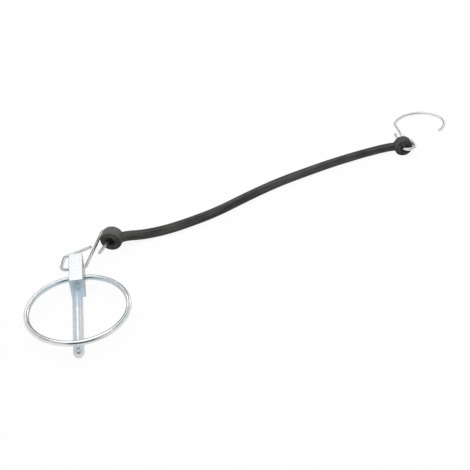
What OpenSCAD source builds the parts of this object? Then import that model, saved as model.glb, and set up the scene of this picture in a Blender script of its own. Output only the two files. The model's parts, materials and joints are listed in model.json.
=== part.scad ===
// Lynch pin with a spring ring, a rubber retaining strap, a wire link and an open wire hook.
// All sizes are in millimetres and all angles in degrees.
// The table is z = 0. The shaft lies along Y with its tip towards -Y.

/* [Pin] */
// Diameter of the round shaft
shaft_diameter = 4.5; // [3:0.1:12]
// Distance from the ring's pivot to the tip of the shaft
pivot_to_tip = 44.2; // [25:0.1:90]
// Length of the chamfer at the tip
tip_chamfer = 1.6; // [0.2:0.1:4]
// Diameter of the flat end of the tip
tip_end_diameter = 2.9; // [1:0.1:10]
// Width of the head, across the shaft and along the ring's pivot
head_width = 6.1; // [5:0.1:14]
// Height of the head, standing on its narrow edge
head_height = 10.9; // [6:0.1:24]
// Distance from the ring's pivot to the near end of the head, where the shaft starts
head_near = 6.5; // [3:0.1:14]
// Distance from the ring's pivot to the far end of the head
head_far = 11.1; // [7:0.1:24]
// Radius of the head's corners at its far end, seen from above
head_plan_radius = 1.1; // [0.2:0.1:2.5]
// Radius of the head's corners, seen from the side
head_side_radius = 0.7; // [0.2:0.1:2.5]
// Depth of the blind hole for each end of the ring
pivot_hole_depth = 2.4; // [1:0.1:2.8]
// Distance from the ring's pivot to the cross hole for the link
link_hole_offset = 6.7; // [4:0.1:16]
// Diameter of the cross hole for the link
link_hole_diameter = 2.6; // [1.8:0.1:5]

/* [Ring] */
// Diameter of the ring's wire
ring_wire_diameter = 2.4; // [1.5:0.1:5]
// Radius of the ring, to the middle of its wire
ring_radius = 21; // [12:0.1:40]
// Distance from the middle plane to the start of each bend
ring_straight = 4.3; // [3.5:0.1:10]
// Radius of the bend between each straight end and the round part
ring_bend_radius = 8.1; // [5:0.1:15]
// Distance that the ring lies to the right of the middle plane, loose in its holes
ring_sideways = 0.4; // [0:0.05:0.6]
// Height of the ring's underside over the shaft as it lies
ring_rest_gap = 0.85; // [0.02:0.01:3]

/* [Link] */
// Diameter of the link's wire
link_wire_diameter = 1.5; // [1:0.1:3]
// Length of the straight cut end beyond the head
link_tail_length = 13; // [6:0.1:20]
// Radius of the bend after the cut end
link_tail_bend = 2.2; // [1.5:0.1:5]
// Turn of the bend after the cut end
link_tail_turn = 54; // [30:1:80]
// Turn of the bend into the head's cross hole
link_side_turn = 98; // [80:1:110]
// Length of the straight side beside the head
link_side_length = 6.6; // [3:0.1:12]
// Radius of the bend into the head's cross hole
link_side_bend = 2.1; // [1.5:0.1:4]
// Distance from the middle plane to the end of the straight leg, on the side of the bend
link_leg_left = 4.9; // [4.3:0.1:8]
// Distance from the middle plane to the end of the straight leg, on the side of the stem
link_leg_right = 2.5; // [2:0.1:6]
// Radius of the bend from the leg to the stem
link_stem_bend = 1.5; // [1.2:0.1:4]
// Lean of the stem, towards +X
link_stem_lean = 15.5; // [0:0.5:30]
// Lean of the upper leg from the stem
link_leg_lean = 10; // [0:0.5:14]
// Length of the stem, up to a line square to the near eye's middle
link_stem_length = 23.8; // [15:0.1:40]
// Length of the stem beyond the near eye's middle
link_stem_over = 4; // [3:0.1:8]
// Length of the upper leg before the near eye's middle
link_out_length = 13.4; // [6:0.1:20]

/* [Strap and eyes] */
// Diameter of the round strap
strap_diameter = 5; // [3:0.1:10]
// Radius of each eye's outside
eye_radius = 5.4; // [4:0.1:10]
// Thickness of each eye, along its hole
eye_thickness = 6.8; // [3:0.1:12]
// Radius of the rounded edges of each eye
eye_rounding = 2; // [0.5:0.1:2.8]
// Diameter of the hole in each eye
eye_hole_diameter = 4.2; // [3.6:0.1:8]
// Radius of the rounding at the mouth of each eye's hole
eye_mouth_rounding = 0.5; // [0.1:0.1:0.9]
// Number of flat sides round the strap
strap_sides = 12; // [8:1:12]

/* [Hook] */
// Diameter of the hook's wire
hook_wire_diameter = 1.85; // [1:0.05:3]
// Radius of the open round part, to the middle of its wire
hook_radius = 14.8; // [8:0.1:30]
// Turn of the open round part
hook_turn = 210; // [120:0.5:250]
// Radius of the small U in front of the far eye
hook_u_radius = 3.6; // [3.2:0.1:6]
// Length of the cut leg behind the far eye's middle
hook_leg_length = 15; // [6:0.1:20]
// Length of the cut leg before the far eye's middle, up to the small U
hook_leg_front = 1.5; // [0:0.1:6]
// Length of the straight side of the small U, beside the far eye
hook_side_length = 3.7; // [1:0.1:8]
// Radius of the first bend of the stem
hook_bend_a = 5; // [2:0.1:10]
// Radius of the second bend of the stem
hook_bend_b = 6; // [2:0.1:10]
// Radius of the bend from the stem to the round part
hook_bend_c = 6; // [2:0.1:8]
// Turn of the bend from the stem to the round part
hook_join_turn = 25.5; // [0:0.5:60]
// Lean of the slanted part between the first two bends
hook_slant = 24.5; // [10:1:50]
// Length of the slanted part
hook_slant_length = 7.3; // [2:0.1:16]
// Length of the straight stem
hook_stem_length = 13; // [4:0.1:24]
// Rise of the hook's plane, towards +X
hook_rise = 9; // [0:0.5:30]

/* [Clearances] */
// Radial clearance of the ring's ends in the head
pivot_clearance = 0.08; // [0.01:0.01:0.1]
// Gap between each end of the ring and the bottom of its blind hole
pivot_end_gap = 0.15; // [0.05:0.01:0.5]
// Gap between the near eye and the link's stem
eye_stem_gap = 0.12; // [0.05:0.01:0.6]
// Distance of the link's upper leg from the middle of the near eye's hole
link_leg_shift = 0.5; // [0:0.05:0.6]
// Distance of the hook's leg from the middle of the far eye's hole
hook_leg_shift = 0.5; // [0:0.05:0.8]

/* [Wire facets] */
// Number of flat sides round each wire
wire_sides = 14; // [8:1:24]
// Largest turn between two sections of a bend
bend_step = 10; // [4:1:20]

/* [Placing] */
// Heading of the far eye's hole, from +Y towards +X
far_eye_heading = 7; // [-30:0.5:30]
// Position of the far eye from the ring's pivot, along X
far_eye_x = 190.8; // [150:0.1:230]
// Position of the far eye from the ring's pivot, along Y
far_eye_y = 91; // [40:0.1:140]

/* [Hidden] */
$fn = 48;

// Shared radii
shaft_r = shaft_diameter / 2;
ring_wire_r = ring_wire_diameter / 2;
link_wire_r = link_wire_diameter / 2;
hook_wire_r = hook_wire_diameter / 2;
strap_r = strap_diameter / 2;
eye_hole_r = eye_hole_diameter / 2;
tip_end_r = tip_end_diameter / 2;

// The pin lies on the near lower edge of its head and on its tip.
tip_bearing = pivot_to_tip - tip_chamfer;
pin_slope = atan((head_height / 2 - shaft_r) / (tip_bearing - head_near));
pivot_height = head_near * sin(pin_slope) + head_height / 2 * cos(pin_slope);

// The pin and the ring are centred on the row's origin along Y.
corner_y = head_far - head_side_radius;
corner_z = head_height / 2 - head_side_radius;
pin_back = corner_y * cos(pin_slope) + corner_z * sin(pin_slope) + head_side_radius;
pin_front = pivot_to_tip * cos(pin_slope) + tip_end_r * sin(pin_slope);
pivot_y = (pin_front - pin_back) / 2;
pivot = [0, pivot_y, pivot_height];

// Ring: a straight end, a wide bend and the round part, on each side.
ring_offset = ring_bend_radius + sqrt(pow(ring_radius - ring_bend_radius, 2) - pow(ring_straight, 2));
ring_bend_turn = 90 - acos(ring_straight / (ring_radius - ring_bend_radius));
ring_reach = ring_offset + ring_radius;
ring_angle = asin((shaft_r + ring_rest_gap + ring_wire_r) / ring_reach);
ring_end_x = head_width / 2 - pivot_hole_depth + pivot_end_gap;

// Link: from its axis in the head to the middle of the near eye.
link_axis = pivot + [0, link_hole_offset * cos(pin_slope), link_hole_offset * sin(pin_slope)];
link_tail = stations([
  [0, link_side_bend, -link_side_turn],
  [link_side_length, link_tail_bend, -link_tail_turn],
  [link_tail_length, 0, 0]
], [-link_leg_left, 0, 180]);
link_tail_end = link_tail[len(link_tail) - 1];
link_start = [link_tail_end[0], link_tail_end[1], link_tail_end[2] + 180];
link_foot_x = link_leg_right + link_stem_bend * cos(link_stem_lean) + link_stem_length * sin(link_stem_lean);
link_foot_y = link_stem_bend * (1 - sin(link_stem_lean)) + link_stem_length * cos(link_stem_lean);
eye_spacing = eye_radius + link_wire_r + eye_stem_gap;
near_eye_u = link_foot_x + eye_spacing * cos(link_stem_lean);
near_eye_v = link_foot_y - eye_spacing * sin(link_stem_lean);
link_slope = -asin((link_axis[2] - eye_radius) / near_eye_v);
near_eye = link_axis + [near_eye_u, near_eye_v * cos(link_slope), near_eye_v * sin(link_slope)];
link_leg_spacing = eye_spacing - link_leg_shift;
link_u_sum = link_leg_spacing * cos(link_leg_lean) + link_stem_over * sin(link_leg_lean);
link_u_radius = link_u_sum / (1 + cos(link_leg_lean));
link_over_run = link_stem_over * cos(link_leg_lean) + link_u_radius * sin(link_leg_lean);
link_over_leg = link_over_run - link_leg_spacing * sin(link_leg_lean);

// Hook: its small U, its stem and its round part lie in one plane through the far eye's middle.
far_eye = [far_eye_x, far_eye_y + pivot_y, eye_radius];

// Middle line of the strap from eye to eye, with the ring's pivot as x = 0 and y = 0
STRAP_ROUTE = [
  [19, 28.4, 5],
  [20.5, 29.3, 4.9],
  [22.5, 30.4, 4.6],
  [25, 31.3, 4.1],
  [28, 32, 3.5],
  [31, 32.8, 2.9],
  [35, 33.6, 2.6],
  [40, 34.6, 2.5],
  [46, 36.2, 2.5],
  [53, 38.7, 2.5],
  [60, 41.6, 2.5],
  [67, 44.8, 2.5],
  [75, 49.1, 2.5],
  [83, 54, 2.5],
  [91, 58.8, 2.5],
  [99, 63.4, 2.5],
  [107, 67.7, 2.5],
  [116, 72, 2.5],
  [125, 75.9, 2.5],
  [134, 79.7, 2.5],
  [143, 83.3, 2.5],
  [152, 86.6, 2.5],
  [160, 89.3, 2.5],
  [167, 91.4, 2.6],
  [172, 92.5, 2.8],
  [176, 93, 3.2],
  [180, 93, 3.8],
  [184, 92.7, 4.4],
  [187.5, 92.1, 4.8],
];

function unit(v) = v / norm(v);

// Direction of the strap at a point of its route
function heading(p, i) = unit(p[min(i + 1, len(p) - 1)] - p[max(i - 1, 0)]);

// Points round the strap at one point of its route
function around(c, d, r, n) =
  let (s = unit(cross(d, [0, 0, 1])), t = cross(s, d))
  [for (k = [0 : n - 1]) c + r * (cos(360 * k / n) * s + sin(360 * k / n) * t)];

// Points on an arc
function arc(cx, cy, r, a0, a1, n) =
  [for (k = [0 : n]) [cx + r * cos(a0 + (a1 - a0) * k / n), cy + r * sin(a0 + (a1 - a0) * k / n)]];

// A closed skin over a row of rings with the same number of points
module skin(rings) {
  m = len(rings);
  n = len(rings[0]);
  points = [for (ring = rings) for (q = ring) q];
  walls_a = [for (i = [0 : m - 2]) for (k = [0 : n - 1]) [i * n + k, i * n + (k + 1) % n, (i + 1) * n + (k + 1) % n]];
  walls_b = [for (i = [0 : m - 2]) for (k = [0 : n - 1]) [i * n + k, (i + 1) * n + (k + 1) % n, (i + 1) * n + k]];
  first = [[for (k = [n - 1 : -1 : 0]) k]];
  last = [[for (k = [0 : n - 1]) (m - 1) * n + k]];
  polyhedron(points = points, faces = concat(first, walls_a, walls_b, last));
}

// A station of a bent wire is [x, y, heading]. This one lies further along its heading.
function ahead(p, run) = [p[0] + run * cos(p[2]), p[1] + run * sin(p[2]), p[2]];

// The station after part of a bend, positive to the left
function turned(p, bend, turn) =
  let (side = turn < 0 ? -1 : 1, cx = p[0] - side * bend * sin(p[2]), cy = p[1] + side * bend * cos(p[2]))
  [cx + side * bend * sin(p[2] + turn), cy - side * bend * cos(p[2] + turn), p[2] + turn];

// Stations of one step, which is a straight run, a bend's radius and its turn
function step_stations(step, p) =
  let (q = ahead(p, step[0]), n = ceil(abs(step[2]) / bend_step), k0 = step[0] > 0 ? 0 : 1)
  n == 0 ? [q] : [for (k = [k0 : n]) turned(q, step[1], step[2] * k / n)];

// Stations of all the steps, after the station that they start from
function stations(steps, p, i = 0) =
  i == len(steps) ? [] :
  let (part = step_stations(steps[i], p))
  concat(part, stations(steps, part[len(part) - 1], i + 1));

// A bent wire in the XY plane, from one station through its steps
module wire(steps, start, r) {
  path = concat([start], stations(steps, start));
  skin([for (p = path) [for (k = [0 : wire_sides - 1])
    let (a = 360 * k / wire_sides)
    [p[0] + r * cos(a) * sin(p[2]), p[1] - r * cos(a) * cos(p[2]), r * sin(a)]]]);
}

// Side view of the head, as a rounded rectangle
module head_side() {
  h = head_height / 2;
  c = head_side_radius;
  polygon(concat(
    arc(head_far - c, h - c, c, 0, 90, 5),
    [[-head_near, h]],
    [[-head_near, -h]],
    arc(head_far - c, -h + c, c, -90, 0, 5)
  ));
}

// Plan view of the head, with its far corners rounded
module head_plan() {
  w = head_width / 2;
  c = head_plan_radius;
  polygon(concat(
    arc(w - c, head_far - c, c, 0, 90, 5),
    arc(-w + c, head_far - c, c, 90, 180, 5),
    [[-w, -head_near], [w, -head_near]]
  ));
}

module pin() {
  color("silver")
    translate(pivot)
      rotate([pin_slope, 0, 0])
        difference() {
          union() {
            intersection() {
              rotate([90, 0, 90])
                translate([0, 0, -head_width / 2])
                  linear_extrude(height = head_width) head_side();
              translate([0, 0, -head_height / 2])
                linear_extrude(height = head_height) head_plan();
            }
            rotate([90, 0, 0])
              translate([0, 0, head_near - 1])
                cylinder(h = tip_bearing - head_near + 1, r = shaft_r);
            rotate([90, 0, 0])
              translate([0, 0, tip_bearing])
                cylinder(h = tip_chamfer, r1 = shaft_r, r2 = tip_end_r);
          }
          for (side = [0, 180]) {
            rotate([0, 0, side])
              translate([head_width / 2 - pivot_hole_depth, 0, 0])
                rotate([0, 90, 0])
                  cylinder(h = pivot_hole_depth + 1, r = ring_wire_r + pivot_clearance);
          }
          translate([-head_width, link_hole_offset, 0])
            rotate([0, 90, 0])
              cylinder(h = 2 * head_width, d = link_hole_diameter);
        }
}

module ring() {
  color("gainsboro")
    translate(pivot)
      rotate([pin_slope - ring_angle, 0, 0])
        wire([
          [ring_straight + ring_sideways - ring_end_x, ring_bend_radius, -ring_bend_turn],
          [0, ring_radius, 2 * ring_bend_turn - 360],
          [0, ring_bend_radius, -ring_bend_turn],
          [ring_straight - ring_sideways - ring_end_x, 0, 0]
        ], [ring_end_x, 0, 0], ring_wire_r);
}

module link() {
  color("darkgray")
    translate(link_axis)
      rotate([link_slope, 0, 0])
        wire([
          [link_tail_length, link_tail_bend, link_tail_turn],
          [link_side_length, link_side_bend, link_side_turn],
          [link_leg_left + link_leg_right, link_stem_bend, 90 - link_stem_lean],
          [link_stem_length + link_stem_over, link_u_radius, -180 - link_leg_lean],
          [link_over_leg + link_out_length, 0, 0]
        ], link_start, link_wire_r);
}

// Half section of an eye, between its hole and its outside
module eye_section() {
  t = eye_thickness / 2;
  a = eye_rounding;
  b = eye_mouth_rounding;
  polygon(concat(
    arc(eye_radius - a, t - a, a, 0, 90, 7),
    arc(eye_hole_r + b, t - b, b, 90, 180, 3),
    arc(eye_hole_r + b, -t + b, b, 180, 270, 3),
    arc(eye_radius - a, -t + a, a, 270, 360, 7)
  ));
}

// An eye, with its hole along Y
module eye() {
  rotate([90, 0, 0]) rotate_extrude() eye_section();
}

// Room round the hole of an eye, along Y, cut from the strap's buried ends
module eye_room() {
  rotate([90, 0, 0]) cylinder(h = eye_thickness, r = eye_hole_r + 0.3, center = true);
}

module tether() {
  route = [for (q = STRAP_ROUTE) [q[0], q[1] + pivot_y, q[2]]];
  color("dimgray") {
    translate(near_eye) rotate([0, 0, -link_stem_lean]) eye();
    translate(far_eye) rotate([0, 0, -far_eye_heading]) eye();
    difference() {
      skin([for (i = [0 : len(route) - 1]) around(route[i], heading(route, i), strap_r, strap_sides)]);
      translate(near_eye) rotate([0, 0, -link_stem_lean]) eye_room();
      translate(far_eye) rotate([0, 0, -far_eye_heading]) eye_room();
    }
  }
}

module hook() {
  color("darkgray")
    translate(far_eye)
      rotate([0, 0, -far_eye_heading])
        rotate([0, -hook_rise, 0])
          wire([
            [hook_leg_length + hook_leg_front, hook_u_radius, 180],
            [hook_side_length, hook_bend_a, hook_slant],
            [hook_slant_length, hook_bend_b, -hook_slant],
            [hook_stem_length, hook_bend_c, -hook_join_turn],
            [0, hook_radius, -hook_turn]
          ], [-hook_leg_shift, hook_leg_length, -90], hook_wire_r);
}

pin();
ring();
link();
tether();
hook();
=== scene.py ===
"""A lynch pin on its retaining strap, dressed for the camera.

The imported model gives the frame. Every piece here stands for one of its nodes, in metres, at the place that
the node has.
"""

import json
import logging
import math
from dataclasses import dataclass, field
from enum import Enum
from typing import Callable, Iterable, Optional, Sequence, Union

import bmesh
import bpy
from mathutils import Matrix, Vector


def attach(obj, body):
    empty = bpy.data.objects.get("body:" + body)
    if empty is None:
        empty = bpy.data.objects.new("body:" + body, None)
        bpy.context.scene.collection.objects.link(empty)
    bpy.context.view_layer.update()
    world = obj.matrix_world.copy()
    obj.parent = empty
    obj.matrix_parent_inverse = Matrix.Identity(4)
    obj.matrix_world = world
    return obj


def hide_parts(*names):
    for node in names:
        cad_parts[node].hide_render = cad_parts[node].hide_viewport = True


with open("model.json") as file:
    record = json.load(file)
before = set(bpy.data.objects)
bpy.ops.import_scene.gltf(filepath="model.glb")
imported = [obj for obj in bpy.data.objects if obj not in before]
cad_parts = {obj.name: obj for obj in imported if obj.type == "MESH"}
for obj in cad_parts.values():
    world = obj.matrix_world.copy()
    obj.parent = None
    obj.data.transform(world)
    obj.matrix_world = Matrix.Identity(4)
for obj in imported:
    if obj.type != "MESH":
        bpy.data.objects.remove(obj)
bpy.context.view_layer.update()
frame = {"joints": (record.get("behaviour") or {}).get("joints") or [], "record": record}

log = logging.getLogger("lynch_pin")

MM = 0.001
TINY = 1e-6  # a length that counts as none
WELD = 0.002  # millimetres within which points become one
SQUARELY = 0.999  # cosine past which a face looks straight one way
Colour = tuple[float, float, float]
Point = tuple[float, float, float]
Outline = Sequence[tuple[float, float]]
Stops = Sequence[tuple[float, Colour]]
Piece = bpy.types.Object
Mesh = bmesh.types.BMesh
Edge = bmesh.types.BMEdge
Face = bmesh.types.BMFace
Loop = list[Edge]
Verts = list[bmesh.types.BMVert]
Node = bpy.types.Node
Socket = bpy.types.NodeSocket
Value = Union[float, Sequence[float], Socket]

WHITE: Colour = (1.0, 1.0, 1.0)


class Slot(Enum):
    """Material slots of the record, one for each piece's finish."""

    PIN = "zinc_pin"
    RING = "zinc_ring"
    WIRE = "zinc_wire"
    RUBBER = "black_rubber"


class Side(Enum):
    """The two broad sides of the head."""

    LEFT = -1
    RIGHT = 1


# ------------------------------------------------------------ places in the frame

JOINTS = {joint["name"]: joint for joint in frame["joints"]}


def place_of(joint: str) -> Vector:
    """Return the place of a joint at rest, in metres."""
    return Vector(JOINTS[joint]["pos_m"])


def heading_of(joint: str) -> float:
    """Return how far a level joint's axis is turned from the Y axis towards +X, in degrees."""
    x, y, _ = JOINTS[joint]["axis"]
    return math.degrees(math.atan2(-x, -y))


def slope_of(start: Vector, end: Vector) -> float:
    """Return how steeply a line climbs along the Y axis, in degrees."""
    return math.degrees(math.atan2(end.z - start.z, end.y - start.y))


def shaft_slope() -> float:
    """Return how steeply the shaft climbs towards the head, in degrees."""
    mount = next(m for m in frame["record"]["mounts"] if m["name"] == "shaft")
    return slope_of(Vector(mount["axis"]), Vector((0.0, 0.0, 0.0)))


def in_mm(*values: float) -> Vector:
    """Return a vector in metres from millimetres."""
    return Vector(values) * MM


def moved(*values: float) -> Matrix:
    """Return a move by millimetres."""
    return Matrix.Translation(in_mm(*values))


def turned(degrees: float, axis: str) -> Matrix:
    """Return a turn about the X, Y or Z axis."""
    return Matrix.Rotation(math.radians(degrees), 4, axis)


# ---------------------------------------------------------------- mesh helpers


def linked(name: str, bm: Mesh) -> Piece:
    """Make a mesh an object of the scene.

    Args:
        name: Name of the object.
        bm: Its mesh, in metres. It is freed.

    Returns:
        The new object, at the origin.
    """
    mesh = bpy.data.meshes.new(name)
    bm.to_mesh(mesh)
    bm.free()
    made = bpy.data.objects.new(name, mesh)
    bpy.context.scene.collection.objects.link(made)
    return made


def finish_mesh(bm: Mesh, name: str, place: Matrix, crease: float = 38.0) -> Piece:
    """Close, orient and place a mesh, and make it an object at the origin.

    Args:
        bm: The mesh in its own frame, in metres. It is freed.
        name: Name of the piece.
        place: Matrix from the piece's own frame to the row frame.
        crease: Angle in degrees past which an edge stays sharp.

    Returns:
        The new object, linked to the scene.
    """
    bmesh.ops.remove_doubles(bm, verts=bm.verts, dist=WELD * MM)
    bmesh.ops.recalc_face_normals(bm, faces=bm.faces)
    for face in bm.faces:
        face.smooth = True
    for edge in bm.edges:
        if len(edge.link_faces) == 2 and edge.calc_face_angle(0.0) > math.radians(crease):
            edge.smooth = False
    bmesh.ops.transform(bm, matrix=place, verts=bm.verts)
    return linked(name, bm)


def circle_edges(bm: Mesh, radius: float, sides: int, place: Matrix) -> Loop:
    """Add an open circle.

    Args:
        bm: The mesh to add to.
        radius: Radius in metres.
        sides: Number of edges.
        place: Matrix from the XY plane to the circle's place.

    Returns:
        The circle's edges.
    """
    made = bmesh.ops.create_circle(bm, cap_ends=False, radius=radius, segments=sides, matrix=place)
    verts = set(made["verts"])
    return [e for e in bm.edges if e.verts[0] in verts and e.verts[1] in verts]


def verts_of(edges: Iterable[Edge]) -> Verts:
    """Return the vertices of some edges, each once and in order."""
    return list(dict.fromkeys(v for edge in edges for v in edge.verts))


def edges_where(bm: Mesh, test: Callable[[Vector], bool]) -> Loop:
    """Return the edges whose two ends pass a test on their place."""
    return [edge for edge in bm.edges if all(test(v.co) for v in edge.verts)]


def reach_of(edge: Edge) -> Vector:
    """Return how far an edge reaches along each axis."""
    return Vector([abs(a - b) for a, b in zip(edge.verts[0].co, edge.verts[1].co)])


def drawn_out(bm: Mesh, edges: Iterable[Edge]) -> tuple[Loop, Verts]:
    """Extrude a loop of edges in place.

    Args:
        bm: The mesh.
        edges: Edges of one loop.

    Returns:
        The new loop's edges and its vertices.
    """
    made = bmesh.ops.extrude_edge_only(bm, edges=list(edges))["geom"]
    verts = [g for g in made if isinstance(g, bmesh.types.BMVert)]
    known = set(verts)
    loop = [g for g in made if isinstance(g, Edge) and set(g.verts) <= known]
    return loop, verts


def capped(bm: Mesh, loop: Loop) -> Face:
    """Close a loop with one flat face and return it."""
    return bmesh.ops.contextual_create(bm, geom=loop)["faces"][0]


def round_off(bm: Mesh, edges: Loop, offset: float, segments: int) -> None:
    """Round some edges.

    Args:
        bm: The mesh.
        edges: The edges.
        offset: Distance of the rounding from each edge in millimetres.
        segments: Number of faces across the rounding.
    """
    bmesh.ops.bevel(
        bm, geom=edges, offset=offset * MM, offset_type="OFFSET", segments=segments, profile=0.5,
        affect="EDGES", material=-1, clamp_overlap=True,
    )


# ------------------------------------------------------------------ wire bench


@dataclass
class WireBench:
    """Bends a round wire, step by step, in its own XY plane.

    A point attribute named grain holds each point's place on the wire as if it were straight, so that draw
    marks follow every bend.
    """

    radius: float  # of the wire, in millimetres
    sides: int = 32
    step: float = 5.0  # degrees between two loops of a bend, at most
    stride: float = 3.0  # millimetres between two loops of a straight run
    bm: Mesh = field(default_factory=bmesh.new)
    first: Loop = field(default_factory=list)  # the first loop
    loop: Loop = field(default_factory=list)  # the last loop
    verts: Verts = field(default_factory=list)  # its vertices
    middle: Vector = field(default_factory=Vector)  # its middle, in metres
    heading: float = 0.0  # degrees from +X towards +Y
    length: float = 0.0  # of the wire so far, in metres
    grain: Optional[bmesh.types.BMLayerItem] = None

    def start(self, x: float, y: float, heading: float) -> "WireBench":
        """Open the wire at a station.

        Args:
            x: Place in millimetres.
            y: Place in millimetres.
            heading: Direction in degrees, from +X towards +Y.

        Returns:
            The bench itself.
        """
        self.grain = self.bm.verts.layers.float_vector.new("grain")
        self.middle, self.heading = in_mm(x, y, 0.0), heading
        place = Matrix.Translation(self.middle) @ turned(heading, "Z") @ turned(90, "Y")
        self.loop = circle_edges(self.bm, self.radius * MM, self.sides, place)
        self.first, self.verts = list(self.loop), verts_of(self.loop)
        self._mark()
        return self

    @property
    def ahead(self) -> Vector:
        """Direction of the wire at its last loop."""
        return Vector((math.cos(math.radians(self.heading)), math.sin(math.radians(self.heading)), 0.0))

    @property
    def left(self) -> Vector:
        """Direction to the left of the wire at its last loop."""
        return Vector((-self.ahead.y, self.ahead.x, 0.0))

    def _mark(self) -> None:
        """Write the straightened place of the last loop's points."""
        left = self.left
        for v in self.verts:
            out = v.co - self.middle
            v[self.grain] = Vector((out.dot(left), out.z, self.length))

    def _extend(self) -> None:
        """Add one more loop in place of the last."""
        self.loop, self.verts = drawn_out(self.bm, self.loop)

    def run(self, length: float) -> "WireBench":
        """Go straight on.

        Args:
            length: Length in millimetres. Nothing is added for none.

        Returns:
            The bench itself.
        """
        if length <= 0:
            return self
        parts = max(1, round(length / self.stride))
        part = length * MM / parts
        for _ in range(parts):
            self._extend()
            bmesh.ops.translate(self.bm, verts=self.verts, vec=self.ahead * part)
            self.middle += self.ahead * part
            self.length += part
            self._mark()
        return self

    def bend(self, radius: float, turn: float) -> "WireBench":
        """Bend on, to the left where the turn is positive.

        Args:
            radius: Radius of the wire's middle line in millimetres.
            turn: Turn in degrees.

        Returns:
            The bench itself.
        """
        steps = max(1, math.ceil(abs(turn) / self.step))
        centre = self.middle + self.left * math.copysign(radius * MM, turn)
        part = Matrix.Rotation(math.radians(turn / steps), 3, "Z")
        for _ in range(steps):
            self._extend()
            bmesh.ops.rotate(self.bm, verts=self.verts, cent=centre, matrix=part)
            self.middle = centre + part @ (self.middle - centre)
            self.heading += turn / steps
            self.length += radius * MM * abs(math.radians(turn / steps))
            self._mark()
        return self

    def cut(self, burr: float = 0.12) -> Mesh:
        """Close both ends as sheared faces with a soft rim.

        Args:
            burr: Size of the rims' rounding in millimetres.

        Returns:
            The wire's mesh.
        """
        for loop in (self.loop, self.first):
            round_off(self.bm, list(capped(self.bm, loop).edges), burr, segments=3)
        return self.bm


# -------------------------------------------------------------------- finishes

NOISE_MIDDLE = (0.30, 0.70)  # the values that a noise mostly keeps between
# Darker, in the groove round an eye's hole.
GROOVE_DARK: Colour = (0.010, 0.010, 0.010)
# Lighter: wear, and painted highlight on an eye's lip and rim.
WEAR_AND_HIGHLIGHT: Colour = (0.150, 0.148, 0.134)


def even(value: float) -> Point:
    """Return a value three times, for a noise that is the same along each axis or for a grey."""
    return (value, value, value)


def opaque(colour: Union[Colour, Socket]) -> Value:
    """Return a colour with its alpha, or a socket as it is."""
    return colour if isinstance(colour, Socket) else (*colour, 1.0)


@dataclass(frozen=True)
class Noise:
    """A fractal noise."""

    cycles: Point  # per metre, along each axis
    detail: float = 2.0  # number of finer layers
    rough: float = 0.5  # weight of the finer layers
    warp: float = 0.0


@dataclass(frozen=True)
class Tint:
    """A colour that comes on as a value goes from one number to another."""

    colour: Colour
    start: float  # value at which none of it shows
    full: float  # value at which its whole share shows
    share: float  # its share there, from 0 to 1
    blend: str = "MIX"


@dataclass(frozen=True)
class Relief:
    """How a noise is raised into a surface."""

    height: float  # in millimetres
    strength: float  # share of it that shows, from 0 to 1


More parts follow.
